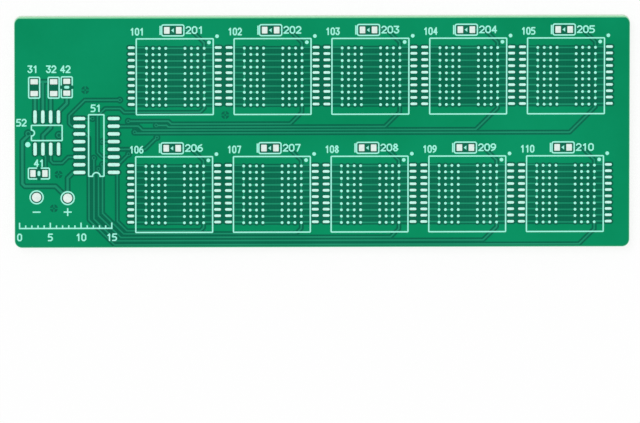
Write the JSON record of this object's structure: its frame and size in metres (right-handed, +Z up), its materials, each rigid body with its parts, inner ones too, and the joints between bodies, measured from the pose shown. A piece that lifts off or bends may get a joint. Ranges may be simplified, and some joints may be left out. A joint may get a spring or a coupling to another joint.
{
  "type": "bare printed circuit board",
  "caption": "Flat green circuit board with no parts fitted: rows of ball-grid chip sites with side lands and a lamp site over each, beside pinned chip sites and round supply lands.",
  "frame": {"origin": "middle of the underside", "axes": "+X along the board's length, +Y across it towards the upper row of chip sites, +Z up out of the printed side"},
  "size_m": [0.1, 0.038, 0.0016],
  "materials": {
    "laminate": "sawn glass and resin laminate, pale green-yellow",
    "copper": "copper foil under the coat",
    "green_coat": "glossy green solder coat",
    "pale_ink": "matt pale mint ink",
    "tin": "bright levelled tin"
  },
  "bodies": {
    "root": {"laminate": "laminate", "via_barrels": "copper", "ground_area": "copper", "signal_tracks": "copper", "supply_tracks": "copper", "top_coat": "green_coat", "bottom_copper": "copper", "bottom_coat": "green_coat", "printed_outlines": "pale_ink", "printed_numbers": "pale_ink", "chip_1_lands": "tin", "chip_2_lands": "tin", "chip_3_lands": "tin", "chip_4_lands": "tin", "chip_5_lands": "tin", "chip_6_lands": "tin", "chip_7_lands": "tin", "chip_8_lands": "tin", "chip_9_lands": "tin", "chip_10_lands": "tin", "lamp_1_lands": "tin", "lamp_2_lands": "tin", "lamp_3_lands": "tin", "lamp_4_lands": "tin", "lamp_5_lands": "tin", "lamp_6_lands": "tin", "lamp_7_lands": "tin", "lamp_8_lands": "tin", "lamp_9_lands": "tin", "lamp_10_lands": "tin", "sixteen_pin_lands": "tin", "eight_pin_lands": "tin", "resistor_1_lands": "tin", "resistor_2_lands": "tin", "capacitor_1_lands": "tin", "capacitor_2_lands": "tin", "ground_land": "tin", "supply_land": "tin"}
  },
  "joints": []
}
